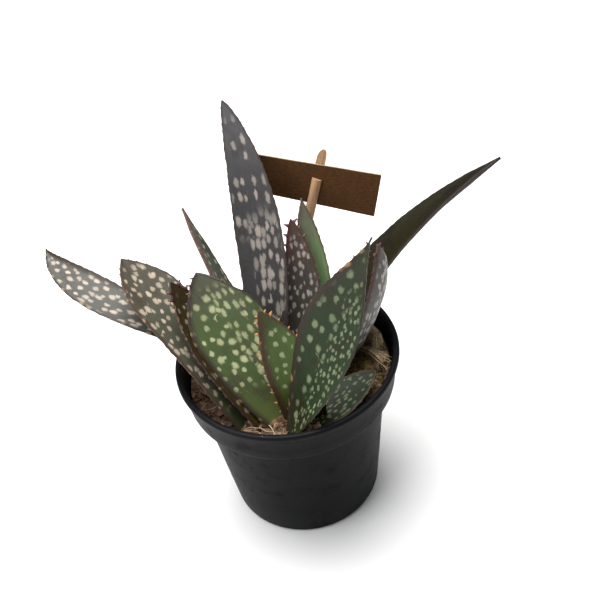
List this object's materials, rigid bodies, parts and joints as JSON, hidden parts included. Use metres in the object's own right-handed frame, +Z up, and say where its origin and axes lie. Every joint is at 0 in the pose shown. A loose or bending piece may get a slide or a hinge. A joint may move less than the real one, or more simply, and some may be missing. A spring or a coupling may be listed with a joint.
{
  "type": "potted aloe",
  "caption": "Spotted aloe with thick toothed leaves growing in shoots from soil in a round black nursery pot, with a card on a wooden stick.",
  "frame": {"origin": "centre of the underside of the pot, where its axis meets the surface it stands on", "axes": "+Z up along the axis of the pot, +X along the widest spread of the leaves to the right, +Y towards the back, where the plant label stands"},
  "size_m": [0.2164, 0.1138, 0.1936],
  "materials": {
    "pot": "matt",
    "soil": "loose and rough",
    "stem_front": "dry and rough",
    "stem_rear": "dry and rough",
    "label_stick": "bare wood",
    "label_card": "bare board",
    "leaf_broad_right": "satin dark green leaf",
    "leaf_small_front": "satin bright green leaf",
    "leaf_big_front": "satin green leaf",
    "leaf_low_right": "satin green leaf",
    "leaf_broad_left": "satin olive brown leaf",
    "leaf_inner_left": "satin olive leaf",
    "leaf_centre_violet": "satin dark violet brown leaf",
    "leaf_edge_right": "satin violet grey leaf",
    "leaf_plain_green": "satin plain green leaf",
    "leaf_tall_violet": "satin slate violet leaf",
    "leaf_long_right": "satin olive brown leaf",
    "leaf_long_left": "satin grey green leaf",
    "leaf_thin_back": "satin dark green leaf",
    "leaf_small_back": "satin dark green leaf"
  },
  "bodies": {
    "root": {"pot": "pot", "soil": "soil", "stem_front": "stem_front", "stem_rear": "stem_rear", "label_stick": "label_stick", "label_card": "label_card", "leaf_broad_right": "leaf_broad_right", "leaf_small_front": "leaf_small_front", "leaf_big_front": "leaf_big_front", "leaf_low_right": "leaf_low_right", "leaf_broad_left": "leaf_broad_left", "leaf_inner_left": "leaf_inner_left", "leaf_centre_violet": "leaf_centre_violet", "leaf_edge_right": "leaf_edge_right", "leaf_plain_green": "leaf_plain_green", "leaf_tall_violet": "leaf_tall_violet", "leaf_long_right": "leaf_long_right", "leaf_long_left": "leaf_long_left", "leaf_thin_back": "leaf_thin_back", "leaf_small_back": "leaf_small_back"}
  },
  "joints": []
}
